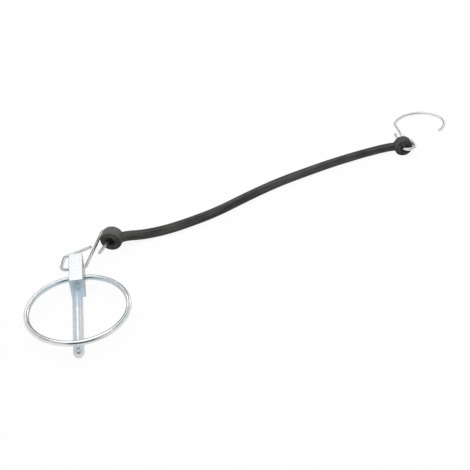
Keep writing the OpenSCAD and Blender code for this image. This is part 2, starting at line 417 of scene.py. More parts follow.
@dataclass
class Graph:
    """A small desk for wiring the shader nodes of a material or a world."""

    owner: Union[bpy.types.Material, bpy.types.World]

    def __post_init__(self) -> None:
        """Clear the owner's node tree."""
        self.owner.use_nodes = True
        self.tree = self.owner.node_tree
        self.tree.nodes.clear()

    def feed(self, entry: Socket, value: Optional[Value]) -> None:
        """Link an output to a node's input, or set the input's own value.

        Args:
            entry: The input.
            value: A node's output or a value, or none to leave the input as it is.
        """
        if isinstance(value, Socket):
            self.tree.links.new(value, entry)
        elif value is not None:
            entry.default_value = value

    def node(
        self, kind: str, settings: Optional[dict[str, object]] = None, *values: Value,
        **named: Optional[Value],
    ) -> Node:
        """Add a node.

        Args:
            kind: Blender's name of the node type, without ShaderNode.
            settings: Values of the node's own properties.
            *values: Values or outputs for its first inputs.
            **named: Values or outputs for its inputs by name, with _ for a space.

        Returns:
            The new node.
        """
        made = self.tree.nodes.new("ShaderNode" + kind)
        for name, value in (settings or {}).items():
            setattr(made, name, value)
        for entry, value in zip(made.inputs, values):
            self.feed(entry, value)
        for name, value in named.items():
            self.feed(made.inputs[name.replace("_", " ")], value)
        return made

    def number(self, operation: str, *values: Value) -> Socket:
        """Work out one number from others."""
        return self.node("Math", {"operation": operation}, *values).outputs[0]

    def vector(self, operation: str, *values: Value) -> Node:
        """Add a node that works on vectors."""
        return self.node("VectorMath", {"operation": operation}, *values)

    def dot(self, a: Value, b: Value) -> Socket:
        """Multiply two vectors into a number."""
        return self.vector("DOT_PRODUCT", a, b).outputs["Value"]

    def ramp(self, factor: Socket, stops: Stops) -> Socket:
        """Map a factor to a row of colours.

        Args:
            factor: The socket that drives the ramp.
            stops: Positions and colours.

        Returns:
            The ramp's colour socket.
        """
        made = self.node("ValToRGB", None, Fac=factor)
        ramp = made.color_ramp
        while len(ramp.elements) < len(stops):
            ramp.elements.new(0.5)
        for element, (place, colour) in zip(ramp.elements, stops):
            element.position = place
            element.color = opaque(colour)
        return made.outputs["Color"]

    def span(self, value: Socket, low: float, high: float, to_low: float, to_high: float) -> Socket:
        """Map a value from one range to another, clamped."""
        return self.node("MapRange", {"clamp": True}, value, low, high, to_low, to_high).outputs[0]

    def noise(self, where: Socket, noise: Noise) -> Socket:
        """Make a noise.

        Args:
            where: Coordinates in metres.
            noise: The noise.

        Returns:
            Its value socket.
        """
        placed = self.node("Mapping", None, Vector=where, Scale=noise.cycles).outputs[0]
        return self.node(
            "TexNoise", None, Vector=placed, Scale=1.0, Detail=noise.detail, Roughness=noise.rough,
            Distortion=noise.warp,
        ).outputs[0]

    def mixed(
        self, factor: Value, a: Union[Colour, Socket], b: Union[Colour, Socket], blend: str = "MIX"
    ) -> Socket:
        """Mix two colours.

        Args:
            factor: Share of the second.
            a: The first colour.
            b: The second colour.
            blend: How they are mixed.

        Returns:
            The mixed colour's socket.
        """
        made = self.node("Mix", {"data_type": "RGBA", "blend_type": blend}, factor)
        self.feed(made.inputs[6], opaque(a))
        self.feed(made.inputs[7], opaque(b))
        return made.outputs[2]

    def tinted(self, base: Socket, value: Socket, tint: Tint) -> Socket:
        """Lay a tint over a colour, as strongly as a value says."""
        share = self.span(value, tint.start, tint.full, 0.0, tint.share)
        return self.mixed(share, base, tint.colour, tint.blend)

    def raised(self, value: Socket, relief: Relief, normal: Optional[Socket] = None) -> Socket:
        """Raise a noise into a normal.

        Args:
            value: The noise.
            relief: How it is raised.
            normal: The normal of what it is raised on, or none.

        Returns:
            The new normal's socket.
        """
        return self.node(
            "Bump", None, Height=value, Distance=relief.height * MM, Strength=relief.strength, Normal=normal
        ).outputs["Normal"]

    def blended(self, share: Socket, a: Node, b: Node) -> Node:
        """Blend two shaders by the share of the second."""
        return self.node("MixShader", None, share, a.outputs[0], b.outputs[0])

    def show(self, shader: Node, output: str = "OutputMaterial") -> None:
        """Send a shader to the output."""
        self.node(output, None, Surface=shader.outputs[0])

    def object_place(self) -> Socket:
        """Return the piece's Object coordinates."""
        return self.node("TexCoord").outputs["Object"]

    def grain_place(self) -> Socket:
        """Return the piece's grain attribute."""
        return self.node("Attribute", {"attribute_name": "grain"}).outputs["Vector"]

    def rays(self) -> tuple[Socket, Socket]:
        """Return whether the lens sees the point, straight or through glass, and whether a gloss does."""
        path = self.node("LightPath").outputs
        return self.number("ADD", path["Is Camera Ray"], path["Is Transmission Ray"]), path["Is Glossy Ray"]


@dataclass(frozen=True)
class PaintedShade:
    """Painted shade: a darker, deeper blue stretch of a plated piece near the head, in millimetres along its
    way.
    """

    start: float
    full: float  # where it gets full
    still: float  # up to where it is full
    gone: float
    way: Point = (0.0, 1.0, 0.0)
    share: float = 0.8  # where it is full, from 0 to 1
    duller: float = 0.28  # how much rougher it is than bare plate
    colour: Colour = (0.58, 0.72, 0.81)


@dataclass(frozen=True)
class BrightZinc:
    """Clear, slightly blue zinc plate on steel, with draw marks, grey streaks and specks, and painted shade
    where asked.
    """

    name: str
    pale: Colour  # where the plate is thick
    blue: Colour  # of its bluish clouds
    smooth: float  # roughness of the smoothest spots
    dull: float  # roughness of the dullest spots
    depth: float  # height of the draw marks in millimetres
    cloudy: float = 0.06  # how much rougher the palest plate is
    cloud_span: tuple[float, float] = (0.35, 0.75)  # values of the clouds between which that comes on
    lines: Point = (2800.0, 2800.0, 40.0)  # draw marks per metre, across and along the grain
    streaks: Point = (620.0, 620.0, 42.0)  # grey streaks per metre, across and along the grain
    shade: float = 0.5  # how grey a streak gets
    spots: float = 0.3  # how dark a speck gets
    # painted shade: a darker blue stretch where the plating reflects shade near the head
    painted_shade: Optional[PaintedShade] = None
    sides: Optional[tuple[float, float]] = None  # millimetres from the middle: painted shade on the head's broad sides starts, is full
    along_wire: bool = False  # whether the marks follow a bent wire
    clouds: Noise = Noise(even(210.0), detail=4.0, rough=0.6, warp=0.4)
    patches: Noise = Noise((95.0, 120.0, 95.0), warp=0.8)
    specks: Noise = Noise(even(1350.0))
    grit: Noise = Noise(even(4200.0), rough=0.6)
    grit_relief: Relief = Relief(height=0.003, strength=0.3)

    def _with_painted_shade(self, g: Graph, where: Socket, base: Socket, rough: Socket) -> tuple[Socket, Socket]:
        """Lay the painted shade on: a bluer, darker and rougher stretch.

        Args:
            g: The material's desk.
            where: Object coordinates.
            base: Colour so far.
            rough: Roughness so far.

        Returns:
            The colour and the roughness with the film.
        """
        painted_shade = self.painted_shade
        along = g.dot(where, painted_shade.way)
        comes = g.span(along, painted_shade.start * MM, painted_shade.full * MM, 0.0, painted_shade.share)
        goes = g.span(along, painted_shade.still * MM, painted_shade.gone * MM, 1.0, 0.0)
        held = g.number("MULTIPLY", comes, goes)
        return g.mixed(held, base, painted_shade.colour), g.number("MULTIPLY_ADD", held, painted_shade.duller, rough)

    def material(self) -> bpy.types.Material:
        """Build the material.

        Returns:
            The material.
        """
        g = Graph(bpy.data.materials.new(self.name))
        where = g.object_place()
        grain = g.grain_place() if self.along_wire else where
        clouds = g.noise(where, self.clouds)
        marks = g.noise(grain, Noise(self.lines, detail=4.0, rough=0.65))
        streaks = g.noise(grain, Noise(self.streaks, warp=0.3))
        base = g.ramp(clouds, ((0.30, self.blue), (0.56, self.pale)))
        tints = (
            (g.noise(where, self.patches), Tint((0.86, 0.86, 0.80), start=0.55, full=0.78, share=0.55)),
            (marks, Tint((0.60, 0.63, 0.66), start=0.35, full=0.65, share=0.18, blend="MULTIPLY")),
            (streaks, Tint((0.30, 0.34, 0.38), start=0.56, full=0.72, share=self.shade)),
            (g.noise(where, self.specks), Tint((0.42, 0.44, 0.45), start=0.70, full=0.78, share=self.spots)),
        )
        for value, tint in tints:
            base = g.tinted(base, value, tint)
        drawn = g.span(marks, *NOISE_MIDDLE, self.smooth, self.dull)
        rough = g.number("ADD", drawn, g.span(clouds, *self.cloud_span, 0.0, self.cloudy))
        # Painted shade near the head, where the plating reflects shade.
        if self.painted_shade is not None:
            base, rough = self._with_painted_shade(g, where, base, rough)
        # Painted shade: the head's broad sides darker and greyer.
        if self.sides is not None:
            off = g.number("ABSOLUTE", g.node("SeparateXYZ", None, Vector=where).outputs["X"])
            start, full = (v * MM for v in self.sides)
            base = g.tinted(base, off, Tint((0.44, 0.465, 0.46), start, full, share=0.85))
        normal = g.raised(marks, Relief(self.depth, strength=0.6))
        normal = g.raised(g.noise(where, self.grit), self.grit_relief, normal)
        g.show(g.node("BsdfPrincipled", None, Base_Color=base, Metallic=1.0, Roughness=rough, Normal=normal))
        return g.owner


@dataclass(frozen=True)
class Band:
    """A soft-edged band of another colour on an eye, in millimetres."""

    place: float  # its middle, as a radius from the hole's middle or a distance along the hole
    half: float  # half its width
    share: float  # at its middle, from 0 to 1
    colour: Colour
    core: float = 0.25  # share of the half width that keeps the whole of it


@dataclass(frozen=True)
class MouldedRubber:
    """Matte black rubber with a faint grey bloom and flow marks.

    On an eye, its hole's groove is darker, its lip and rim lighter as wear and painted highlight, its parting
    line worn.
    """

    name: str
    deep: Colour = (0.025, 0.0255, 0.0245)  # clean rubber
    bloom: Colour = (0.074, 0.0745, 0.067)
    flow: Point = (1050.0, 1050.0, 26.0)  # flow marks per metre, across and along
    follows: bool = False  # whether the marks follow the strap
    painted_top_light: Optional[tuple[float, float]] = None  # heights in millimetres: painted light on the top starts, is full
    centre: Optional[Vector] = None  # of an eye, in metres
    heading: float = 0.0  # of that eye, in degrees
    groove: Band = Band(place=4.16, half=0.34, share=0.70, colour=GROOVE_DARK)
    # The lip and the rim bands are painted highlight rings as well as wear.
    lip: Band = Band(place=3.78, half=0.22, share=0.40, colour=WEAR_AND_HIGHLIGHT)
    rim: Band = Band(place=4.95, half=0.40, share=0.40, colour=WEAR_AND_HIGHLIGHT)
    parting: Band = Band(place=0.0, half=0.26, share=0.55, colour=WEAR_AND_HIGHLIGHT)
    shine: float = 0.38  # specular level
    matt: tuple[float, float] = (0.56, 0.70)  # roughness of clean rubber and of the bloom
    flow_matt: float = 0.10  # how much rougher a flow mark is
    clouds: Noise = Noise(even(130.0), detail=5.0, rough=0.62, warp=0.5)
    skin: Noise = Noise(even(2600.0), detail=4.0, rough=0.65)
    skin_relief: Relief = Relief(height=0.022, strength=0.7)
    flow_relief: Relief = Relief(height=0.09, strength=0.8)
    dust: Noise = Noise(even(3900.0))

    def _banded(self, g: Graph, where: Socket, base: Socket) -> Socket:
        """Lay a darker groove round an eye's hole, wear and painted highlight on its lip and rim, and wear on
        its parting line.

        Args:
            g: The material's desk.
            where: Object coordinates.
            base: Colour so far.

        Returns:
            The colour with its bands.
        """
        way = math.radians(self.heading)
        axis = (math.sin(way), math.cos(way), 0.0)
        out = g.vector("SUBTRACT", where, tuple(self.centre)).outputs[0]
        across = g.vector("CROSS_PRODUCT", out, axis).outputs[0]
        radius = g.vector("LENGTH", across).outputs["Value"]
        bands = [(radius, band) for band in (self.groove, self.lip, self.rim)]
        for value, band in (*bands, (g.dot(out, axis), self.parting)):
            off = g.number("ABSOLUTE", g.number("SUBTRACT", value, band.place * MM))
            half = band.half * MM
            base = g.mixed(g.span(off, band.core * half, half, band.share, 0.0), base, band.colour)
        return base

    def material(self) -> bpy.types.Material:
        """Build the material.

        Returns:
            The material.
        """
        g = Graph(bpy.data.materials.new(self.name))
        where = g.object_place()
        clouds = g.noise(where, self.clouds)
        flow = g.noise(g.grain_place() if self.follows else where, Noise(self.flow, detail=4.0, rough=0.6))
        base = g.ramp(clouds, ((0.32, self.deep), (0.68, self.bloom)))
        base = g.tinted(base, flow, Tint(self.bloom, start=0.50, full=0.60, share=0.8))
        base = g.tinted(base, flow, Tint((0.015, 0.0155, 0.015), start=0.49, full=0.39, share=0.8))
        # Painted light: the top lighter, as if lit from above.
        if self.painted_top_light is not None:
            height = g.node("SeparateXYZ", None, Vector=where).outputs["Z"]
            low, high = (v * MM for v in self.painted_top_light)
            base = g.tinted(base, height, Tint((0.140, 0.138, 0.125), low, high, share=0.75))
        if self.centre is not None:
            base = self._banded(g, where, base)
        specks = g.noise(where, self.dust)
        base = g.tinted(base, specks, Tint((0.17, 0.167, 0.153), start=0.70, full=0.76, share=0.5))
        flowed = g.span(flow, *NOISE_MIDDLE, 0.0, self.flow_matt)
        rough = g.number("ADD", g.span(clouds, *NOISE_MIDDLE, *self.matt), flowed)
        normal = g.raised(flow, self.flow_relief)
        normal = g.raised(g.noise(where, self.skin), self.skin_relief, normal)
        g.show(g.node(
            "BsdfPrincipled", None, Base_Color=base, Metallic=0.0, Roughness=rough,
            Specular_IOR_Level=self.shine, Normal=normal,
        ))
        return g.owner


@dataclass(frozen=True)
class StudioPaper:
    """Pale seamless paper that keeps a soft shadow and shows white to the lens and in the plating."""

    name: str = "studio_paper"
    white: float = 1.112  # strength of the white that is shown
    by_lens: float = 0.83  # its share to the lens
    in_gloss: float = 0.66  # its share in a reflection
    shades: tuple[float, float] = (0.50, 0.53)  # greys of the paper itself
    fibre: Noise = Noise(even(420.0), detail=3.0, rough=0.6)

    def material(self) -> bpy.types.Material:
        """Build the material.

        Returns:
            The material.
        """
        g = Graph(bpy.data.materials.new(self.name))
        dark, light = (even(shade) for shade in self.shades)
        base = g.ramp(g.noise(g.object_place(), self.fibre), ((0.3, dark), (0.7, light)))
        paper = g.node("BsdfDiffuse", None, Color=base, Roughness=0.6)
        white = g.node("Emission", None, Color=opaque(WHITE), Strength=self.white)
        lens, gloss = g.rays()
        share = g.number("MULTIPLY_ADD", gloss, self.in_gloss, g.number("MULTIPLY", lens, self.by_lens))
        g.show(g.blended(share, paper, white))
        return g.owner


def dress(piece: Piece, material: bpy.types.Material, slot: Slot, body: str, *nodes: str) -> Piece:
    """Give a piece its finish and its place on a body.

    Args:
        piece: The new piece.
        material: Its finish.
        slot: The record's slot that the finish belongs to; not used.
        body: The CAD body that it rides on.
        *nodes: The CAD nodes that it stands for.

    Returns:
        The piece.
    """
    piece.data.materials.clear()
    piece.data.materials.append(material)
    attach(piece, body)
    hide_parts(*nodes)
    log.info("%s: %d faces on %s", piece.name, len(piece.data.polygons), body)
    return piece


# ------------------------------------------------------------------ sub-assemblies


def arc(angles: Sequence[float]) -> list[tuple[float, float]]:
    """Return the sine and the cosine of some angles in degrees."""
    return [(math.sin(math.radians(a)), math.cos(math.radians(a))) for a in angles]


@dataclass
class Pin:
    """The forged pin: a flat head on edge and a round shaft, in millimetres and degrees.

    The pin's own frame has its origin at the ring's pivot, with the shaft along -Y. The tip's profile gives
    steps back from its end and inwards from the shaft's radius.
    """

    pivot: Vector  # in metres
    slope: float  # of the shaft, up towards the head
    shaft_radius: float = 2.25
    pivot_to_tip: float = 44.2
    head_width: float = 6.1
    head_height: float = 10.9
    head_near: float = 6.5  # from the pivot to the shaft's end of the head
    head_far: float = 11.1
    plan_rounding: float = 1.1
    edge_rounding: float = 0.42
    near_rounding: float = 0.25
    root_fillet: float = 0.68
    root_length: float = 2.3
    root_angles: tuple[float, ...] = (12, 24, 36, 48, 60, 75, 90)
    shaft_loops: tuple[float, ...] = (12, 18, 24, 30, 36)
    tip_profile: Outline = (
        (2.0, 0.0), (1.75, 0.01), (1.5, 0.05), (1.22, 0.15), (0.93, 0.3),
        (0.62, 0.48), (0.36, 0.66), (0.18, 0.83), (0.06, 1.02), (0.0, 1.3),
    )
    pivot_hole_radius: float = 1.28
    pivot_hole_depth: float = 2.4
    link_hole_offset: float = 6.7
    link_hole_radius: float = 1.3
    countersink: float = 0.18
    hole_sides: int = 40
    shaft_sides: int = 64

    @property
    def along(self) -> Point:
        """Direction from the shaft to the head's far end."""
        return (0.0, math.cos(math.radians(self.slope)), math.sin(math.radians(self.slope)))

    def _block(self) -> Mesh:
        """Shape the head's block, with its far corners and its edges rounded.

        Returns:
            Its mesh.
        """
        bm = bmesh.new()
        bmesh.ops.create_cube(bm, size=1.0)
        size = in_mm(self.head_width, self.head_near + self.head_far, self.head_height)
        bmesh.ops.scale(bm, verts=bm.verts, vec=size)
        bmesh.ops.translate(bm, verts=bm.verts, vec=in_mm(0.0, (self.head_far - self.head_near) / 2, 0.0))
        far, near = self.head_far * MM - TINY, -self.head_near * MM + TINY
        top = self.head_height / 2 * MM - TINY
        corners = [e for e in edges_where(bm, lambda place: place.y > far) if reach_of(e).x < TINY]
        round_off(bm, corners, self.plan_rounding, segments=7)
        rims = [e for e in edges_where(bm, lambda place: abs(place.z) > top) if reach_of(e).z < TINY]
        mouth = set(edges_where(bm, lambda place: place.y < near))
        round_off(bm, [e for e in rims if e not in mouth], self.edge_rounding, segments=4)
        round_off(bm, edges_where(bm, lambda place: place.y < near), self.near_rounding, segments=3)
        return bm

    @staticmethod
    def _broadest(bm: Mesh, way: Vector) -> Face:
        """Find the largest flat face that looks one way."""
        bm.normal_update()
        return max((f for f in bm.faces if f.normal.dot(way) > SQUARELY), key=lambda f: f.calc_area())

    @staticmethod
    def _open_face(bm: Mesh, face: Face, holes: Loop) -> None:
        """Remake a flat face with holes in it.

        Args:
            bm: The mesh.
            face: The face.
            holes: Edges of the holes' loops.
        """
        rim, way = list(face.edges), face.normal.copy()
        bmesh.ops.delete(bm, geom=[face], context="FACES_ONLY")
        bmesh.ops.triangle_fill(bm, use_beauty=True, use_dissolve=False, edges=rim + holes, normal=way)

    def _hole_mouth(self, bm: Mesh, side: Side, y: float, radius: float) -> tuple[Loop, Loop]:
        """Add a countersunk hole's mouth on one side of the head.

        Args:
            bm: The mesh.
            side: The side of the head.
            y: Place along the head in millimetres.
            radius: Radius of the hole in millimetres.

        Returns:
            The outer loop in the face, and the inner loop at the hole's wall.
        """
        x = side.value * self.head_width / 2
        wide = radius + self.countersink
        outer = circle_edges(bm, wide * MM, self.hole_sides, moved(x, y, 0.0) @ turned(90, "Y"))
        inner, verts = drawn_out(bm, outer)
        bmesh.ops.scale(bm, verts=verts, vec=(1.0, radius / wide, radius / wide), space=moved(-x, -y, 0.0))
        bmesh.ops.translate(bm, verts=verts, vec=in_mm(-side.value * self.countersink, 0.0, 0.0))
        return outer, inner

    def _holes(self, bm: Mesh) -> None:
        """Cut the ring's two blind holes and the link's cross hole.

        Args:
            bm: The head's mesh.
        """
        through: Loop = []
        for side in Side:
            face = self._broadest(bm, Vector((side.value, 0.0, 0.0)))
            pivot_outer, pivot_inner = self._hole_mouth(bm, side, 0.0, self.pivot_hole_radius)
            link_outer, link_inner = self._hole_mouth(bm, side, self.link_hole_offset, self.link_hole_radius)
            self._open_face(bm, face, pivot_outer + link_outer)
            floor, verts = drawn_out(bm, pivot_inner)
            inwards = -side.value * (self.pivot_hole_depth - self.countersink)
            bmesh.ops.translate(bm, verts=verts, vec=in_mm(inwards, 0.0, 0.0))
            capped(bm, floor)
            through += link_inner
        bmesh.ops.bridge_loops(bm, edges=through)

    def _shaft(self, bm: Mesh) -> None:
        """Draw the shaft out of the near end of the head, down to its rounded tip.

        Args:
            bm: The head's mesh.
        """
        r, fillet, end = self.shaft_radius, self.root_fillet, self.pivot_to_tip
        here, radius = self.head_near, r + fillet
        face = self._broadest(bm, Vector((0.0, -1.0, 0.0)))
        loop = circle_edges(bm, radius * MM, self.shaft_sides, moved(0.0, -here, 0.0) @ turned(90, "X"))
        self._open_face(bm, face, loop)
        root = arc(self.root_angles)
        line = [(self.head_near + self.root_length * (1 - cos), r + fillet * (1 - sin)) for sin, cos in root]
        line += [(y, r) for y in self.shaft_loops]
        line += [(end - back, r - inwards) for back, inwards in self.tip_profile]
        for y, wide in line:
            loop, verts = drawn_out(bm, loop)
            bmesh.ops.scale(bm, verts=verts, vec=(wide / radius, 1.0, wide / radius))
            bmesh.ops.translate(bm, verts=verts, vec=in_mm(0.0, here - y, 0.0))
            here, radius = y, wide
        bmesh.ops.poke(bm, faces=[capped(bm, loop)])

    def build(self, finish: BrightZinc) -> Piece:
        """Make the pin and dress it.

        Args:
            finish: Its plating.

        Returns:
            The pin.
        """
        bm = self._block()
        self._holes(bm)
        self._shaft(bm)
        place = Matrix.Translation(self.pivot) @ turned(self.slope, "X")
        piece = finish_mesh(bm, "forged_pin", place, crease=34.0)
        # Flat faces keep their own normals beside the small roundings.
        normals = piece.modifiers.new("flat_faces", "WEIGHTED_NORMAL")
        normals.keep_sharp, normals.weight = True, 60
        return dress(piece, finish.material(), Slot.PIN, "pin_body", "pin")


@dataclass
class SpringRing:
    """The round wire ring, whose ends sit in the head, in millimetres."""

    wire_radius: float = 1.2
    radius: float = 21.0
    straight: float = 4.3  # from the ring's middle to where an end starts to bend
    bend_radius: float = 8.1
    sideways: float = 0.4  # how far the ring's middle lies off the head's
    rest_gap: float = 0.85  # between the ring and the shaft
    end_gap: float = 0.15  # between an end and its hole's floor
    burr: float = 0.2

    def build(self, pin: Pin, finish: BrightZinc) -> Piece:
        """Bend the ring, lay it over the shaft and dress it.

        Args:
            pin: The pin that carries it.
            finish: Its plating.

        Returns:
            The ring.
        """
        inner = self.radius - self.bend_radius
        turn = math.degrees(math.asin(self.straight / inner))
        reach = self.bend_radius + math.sqrt(inner**2 - self.straight**2) + self.radius
        lift = math.degrees(math.asin((pin.shaft_radius + self.rest_gap + self.wire_radius) / reach))
        end = pin.head_width / 2 - pin.pivot_hole_depth + self.end_gap
        bench = WireBench(self.wire_radius, sides=40, step=3.0).start(end, 0.0, 0.0)
        bench.run(self.straight + self.sideways - end).bend(self.bend_radius, -turn)
        bench.bend(self.radius, 2 * turn - 360).bend(self.bend_radius, -turn)
        wire = bench.run(self.straight - self.sideways - end).cut(self.burr)
        place = Matrix.Translation(pin.pivot) @ turned(pin.slope - lift, "X")
        piece = finish_mesh(wire, "spring_ring", place)
        return dress(piece, finish.material(), Slot.RING, "ring_body", "ring")


@dataclass
class Link:
    """The bent wire link between the head and the near eye, in millimetres and degrees.

    Its axis is the head's cross hole. Its plane slopes down from there to the near eye's middle.
    """

    axis: Vector  # in metres
    slope: float
    wire_radius: float = 0.75
    tail_length: float = 13.0
    tail_bend: float = 2.2
    tail_turn: float = 54.0
    side_length: float = 6.6
    side_bend: float = 2.1
    side_turn: float = 98.0
    leg_left: float = 4.9
    leg_right: float = 2.5
    stem_bend: float = 1.5
    stem_lean: float = 15.5
    leg_lean: float = 10.0
    stem_length: float = 23.8
    stem_over: float = 4.0  # how far the stem runs on past the eye's middle
    out_length: float = 13.4
    leg_spacing: float = 5.77  # from the stem to the leg in the eye's hole

    def _start(self) -> tuple[float, float, float]:
        """Walk back from the head's cross hole to the cut end.

        Returns:
            The end's place in millimetres and the wire's heading there in degrees.
        """
        x, y, way = -self.leg_left, 0.0, 180.0
        walk = (
            (0.0, self.side_bend, self.side_turn),
            (self.side_length, self.tail_bend, self.tail_turn),
            (self.tail_length, 0.0, 0.0),
        )
        for run, bend, turn in walk:
            (sin, cos), (next_sin, next_cos) = arc((way, way - turn))
            x += run * cos + bend * (sin - next_sin)
            y += run * sin + bend * (next_cos - cos)
            way -= turn
        return x, y, way + 180.0

    def build(self, finish: BrightZinc) -> Piece:
        """Bend the link and dress it.

        Args:
            finish: Its plating.

        Returns:
            The link.
        """
        ((sin, cos),) = arc((self.leg_lean,))
        u_radius = (self.leg_spacing * cos + self.stem_over * sin) / (1 + cos)
        over = self.stem_over * cos + u_radius * sin - self.leg_spacing * sin
        bench = WireBench(self.wire_radius, step=6.0).start(*self._start())
        bench.run(self.tail_length).bend(self.tail_bend, self.tail_turn)
        bench.run(self.side_length).bend(self.side_bend, self.side_turn)
        bench.run(self.leg_left + self.leg_right).bend(self.stem_bend, 90 - self.stem_lean)
        bench.run(self.stem_length + self.stem_over).bend(u_radius, -180 - self.leg_lean)
        wire = bench.run(over + self.out_length).cut()
        place = Matrix.Translation(self.axis) @ turned(self.slope, "X")
        piece = finish_mesh(wire, "wire_link", place)
        return dress(piece, finish.material(), Slot.WIRE, "link_body", "link")


@dataclass
class Hook:
    """The open wire hook on the far eye, in millimetres and degrees."""

    wire_radius: float = 0.925
    leg_length: float = 15.0
    leg_front: float = 1.5
    leg_shift: float = 0.5
    u_radius: float = 3.6
    side_length: float = 3.7
    bend_a: float = 5.0  # from the side to the slant
    bend_b: float = 6.0  # from the slant to the stem
    bend_c: float = 6.0  # from the stem to the open turn
    slant: float = 24.5
    slant_length: float = 7.3
    stem_length: float = 13.0
    join_turn: float = 25.5
    radius: float = 14.8
    turn: float = 210.0
    rise: float = 9.0

    def build(self, eye: "Eye", finish: BrightZinc) -> Piece:
        """Bend the hook, hang it in the far eye and dress it.

        Args:
            eye: The far eye.
            finish: Its plating.

        Returns:
            The hook.
        """
        bench = WireBench(self.wire_radius).start(-self.leg_shift, self.leg_length, -90.0)
        bench.run(self.leg_length + self.leg_front).bend(self.u_radius, 180.0)
        bench.run(self.side_length).bend(self.bend_a, self.slant)
        bench.run(self.slant_length).bend(self.bend_b, -self.slant)
        bench.run(self.stem_length).bend(self.bend_c, -self.join_turn)
        wire = bench.bend(self.radius, -self.turn).cut()
        piece = finish_mesh(wire, "open_hook", eye.place @ turned(-self.rise, "Y"))
        return dress(piece, finish.material(), Slot.WIRE, "hook_body", "hook")


@dataclass
class Eye:
    """One moulded eye at an end of the strap, in millimetres and degrees.

    The lip's profile gives steps outwards from the lip's edge and down from its top.
    """

    name: str
    centre: Vector  # in metres
    heading: float  # how far its hole is turned from the Y axis towards +X
    radius: float = 5.4
    half: float = 3.4
    hole_radius: float = 2.1
    mouth: float = 0.62  # radius of the rounding at the hole's mouth
    mouth_angles: tuple[float, ...] = (22, 45, 68, 90)
    wall_loop: float = 1.5  # depth of a loop on the hole's wall
    lip: float = 4.0  # radius of the lip's edge
    lip_profile: Outline = ((-0.26, 0.0), (-0.08, 0.07), (0.0, 0.24), (0.05, 0.19), (0.14, 0.24))
    shoulder_angles: tuple[float, ...] = (12, 24, 36, 48, 60, 70, 80, 90)
    flat: float = 1.6  # half the height of the straight part of its outside
    flash: float = 0.06  # height of the parting line
    flash_half: float = 0.2  # half its width
    facets: int = 72

    @property
    def place(self) -> Matrix:
        """Matrix from the eye's own frame, with its hole along Y, to the row frame."""
        return Matrix.Translation(self.centre) @ turned(-self.heading, "Z")

    def _section(self) -> list[tuple[float, float]]:
        """Draw half a section of the eye, from the hole's middle outwards to the parting line.

        Returns:
            Radius and depth of each point in millimetres.
        """
        outside, mouth = self.radius - self.flash, self.half - self.mouth
        lip = [(self.lip + out, self.half - down) for out, down in self.lip_profile]
        foot, low = lip[-1]
        line = [(self.hole_radius, 0.0), (self.hole_radius, self.wall_loop), (self.hole_radius, mouth)]
        for sin, cos in arc(self.mouth_angles):
            line.append((self.hole_radius + self.mouth * (1 - cos), self.half - self.mouth * (1 - sin)))
        line += lip
        for sin, cos in arc(self.shoulder_angles):
            line.append((foot + (outside - foot) * sin, self.flat + (low - self.flat) * cos))
        return line + [(outside, self.flash_half), (self.radius, 0.0)]

    def build(self, finish: MouldedRubber) -> Piece:
        """Spin the eye round its hole and dress it.

        Args:
            finish: Its rubber.

        Returns:
            The eye.
        """
        bm = bmesh.new()
        half = self._section()
        outline = half + [(r, -y) for r, y in reversed(half[1:-1])]
        verts = [bm.verts.new(in_mm(r, y, 0.0)) for r, y in outline]
        edges = [bm.edges.new((a, b)) for a, b in zip(verts, verts[1:] + verts[:1])]
        bmesh.ops.spin(
            bm, geom=verts + edges, cent=(0, 0, 0), axis=(0, 1, 0), angle=math.tau, steps=self.facets,
            use_merge=True, use_duplicate=False,
        )
        piece = finish_mesh(bm, self.name, self.place, crease=42.0)
        return dress(piece, finish.material(), Slot.RUBBER, "tether_body", "tether")


